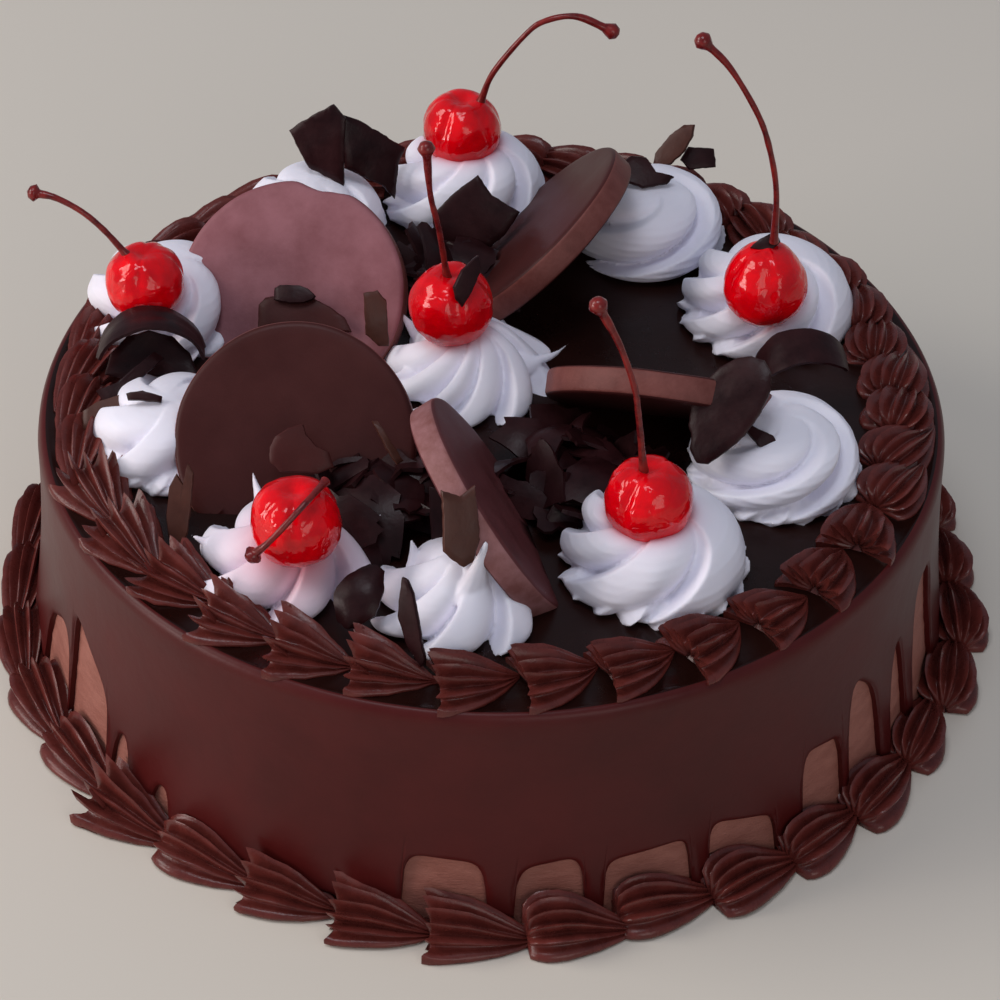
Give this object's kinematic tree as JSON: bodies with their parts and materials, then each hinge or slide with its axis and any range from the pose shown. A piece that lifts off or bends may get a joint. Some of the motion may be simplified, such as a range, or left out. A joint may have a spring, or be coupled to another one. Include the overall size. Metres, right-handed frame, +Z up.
{
  "type": "chocolate cake",
  "caption": "Round chocolate cake with a poured ganache coat, piped shell borders, cream rosettes, stemmed cherries, chocolate discs and shards.",
  "frame": {"origin": "centre of the cake's flat underside", "axes": "+Z up through the cake, -Y towards the side seen in the picture"},
  "size_m": [0.2492, 0.2489, 0.1515],
  "materials": {
    "chocolate_cream": "soft satin chocolate cream",
    "ganache_coat": "poured ganache, satin at the side and glossy on top",
    "piped_ganache": "piped ganache, satin",
    "whipped_cream": "smooth whipped cream",
    "cherry": "wet glossy cocktail cherry skin",
    "cherry_stem": "thin brownish red stem",
    "thin_chocolate": "tempered chocolate with a light bloom",
    "dark_chocolate": "broken dark chocolate"
  },
  "bodies": {
    "root": {"base_border": "piped_ganache", "cake_body": "chocolate_cream", "cherry_01": "cherry", "cherry_03": "cherry", "cherry_05": "cherry", "cherry_07": "cherry", "cherry_09": "cherry", "cherry_11": "cherry", "disc_01": "thin_chocolate", "disc_02": "thin_chocolate", "disc_03": "thin_chocolate", "disc_04": "thin_chocolate", "disc_05": "thin_chocolate", "ganache_coat": "ganache_coat", "rosette_01": "whipped_cream", "rosette_02": "whipped_cream", "rosette_03": "whipped_cream", "rosette_04": "whipped_cream", "rosette_05": "whipped_cream", "rosette_06": "whipped_cream", "rosette_07": "whipped_cream", "rosette_08": "whipped_cream", "rosette_09": "whipped_cream", "rosette_10": "whipped_cream", "rosette_11": "whipped_cream", "shard_01": "dark_chocolate", "shard_02": "dark_chocolate", "shard_03": "dark_chocolate", "shard_04": "dark_chocolate", "shard_05": "dark_chocolate", "shard_06": "dark_chocolate", "shard_07": "dark_chocolate", "shard_08": "dark_chocolate", "shard_09": "dark_chocolate", "shard_10": "dark_chocolate", "shard_11": "dark_chocolate", "shard_12": "dark_chocolate", "shard_13": "dark_chocolate", "shard_14": "dark_chocolate", "shard_15": "dark_chocolate", "shard_16": "dark_chocolate", "shard_17": "dark_chocolate", "shard_18": "dark_chocolate", "shard_19": "dark_chocolate", "shard_20": "dark_chocolate", "shard_21": "dark_chocolate", "shard_22": "dark_chocolate", "shard_23": "dark_chocolate", "shavings_01": "dark_chocolate", "shavings_02": "dark_chocolate", "shavings_03": "dark_chocolate", "stem_01": "cherry_stem", "stem_03": "cherry_stem", "stem_05": "cherry_stem", "stem_07": "cherry_stem", "stem_09": "cherry_stem", "stem_11": "cherry_stem", "top_border": "piped_ganache"}
  },
  "joints": []
}
